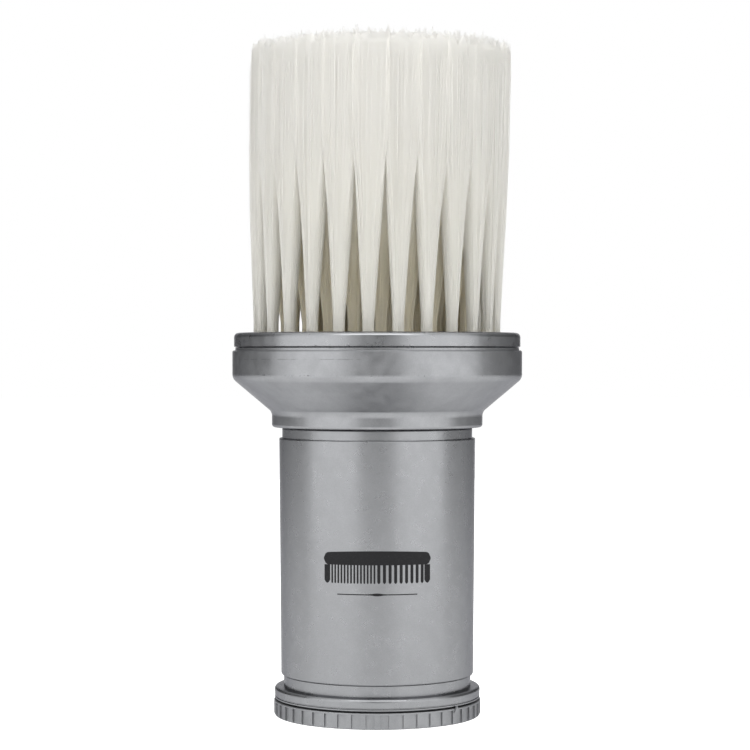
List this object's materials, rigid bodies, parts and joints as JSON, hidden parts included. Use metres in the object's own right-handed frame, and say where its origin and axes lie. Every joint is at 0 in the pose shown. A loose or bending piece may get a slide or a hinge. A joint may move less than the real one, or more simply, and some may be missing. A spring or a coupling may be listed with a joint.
{
  "type": "neck duster brush",
  "caption": "Silver neck duster: a flared head with a thick ring of off-white nylon tufts on a powder-reservoir handle, with a twist shutter and a serrated screw cap.",
  "frame": {"origin": "centre of the annular foot face under the base cap, on the axis of the brush", "axes": "+Z along the brush axis from the base cap up through the bristles, +X to the right and -Y to the front as the printed mark is read"},
  "size_m": [0.0694, 0.0694, 0.1604],
  "materials": {
    "silver_paint": "satin",
    "bristle_nylon": "satin",
    "plate_plastic": "matte",
    "inner_plastic": "satin",
    "seal_rubber": "matte",
    "spring_steel": "satin"
  },
  "bodies": {
    "handle": {"powder_container": "silver_paint", "handle_sleeve": "silver_paint", "base_collar": "silver_paint", "neck_o_ring": "seal_rubber", "neck_snap_ring": "spring_steel", "valve_stator": "inner_plastic", "valve_pin": "spring_steel"},
    "head": {"head_shell": "silver_paint", "head_funnel": "inner_plastic", "valve_rotor": "inner_plastic", "sifter_disc": "inner_plastic", "tuft_plate": "plate_plastic", "rim_ring": "silver_paint", "tufts_outer_row": "bristle_nylon", "tufts_middle_row": "bristle_nylon", "tufts_inner_row": "bristle_nylon", "anchors_outer_row": "spring_steel", "anchors_middle_row": "spring_steel", "anchors_inner_row": "spring_steel"},
    "cap_seal": {"cap_gasket": "seal_rubber"},
    "screw_cap": {"base_cap": "silver_paint"}
  },
  "joints": [
    {"name": "head_twist", "type": "hinge", "parent": "handle", "child": "head", "pos_m": [0, 0, 0.0688], "axis": [0, 0, 1], "range_deg": [0, 60]},
    {"name": "base_cap_lift", "type": "slide", "parent": "handle", "child": "cap_seal", "axis": [0, 0, -1], "range_m": [0, 0.007]},
    {"name": "base_cap_turn", "type": "hinge", "parent": "cap_seal", "child": "screw_cap", "pos_m": [0, 0, 0.0038], "axis": [0, 0, -1], "range_deg": [0, 720]}
  ],
  "couplings": [
    {"joint": "base_cap_lift", "follows": "base_cap_turn", "m_per_rad": 0.000557}
  ]
}
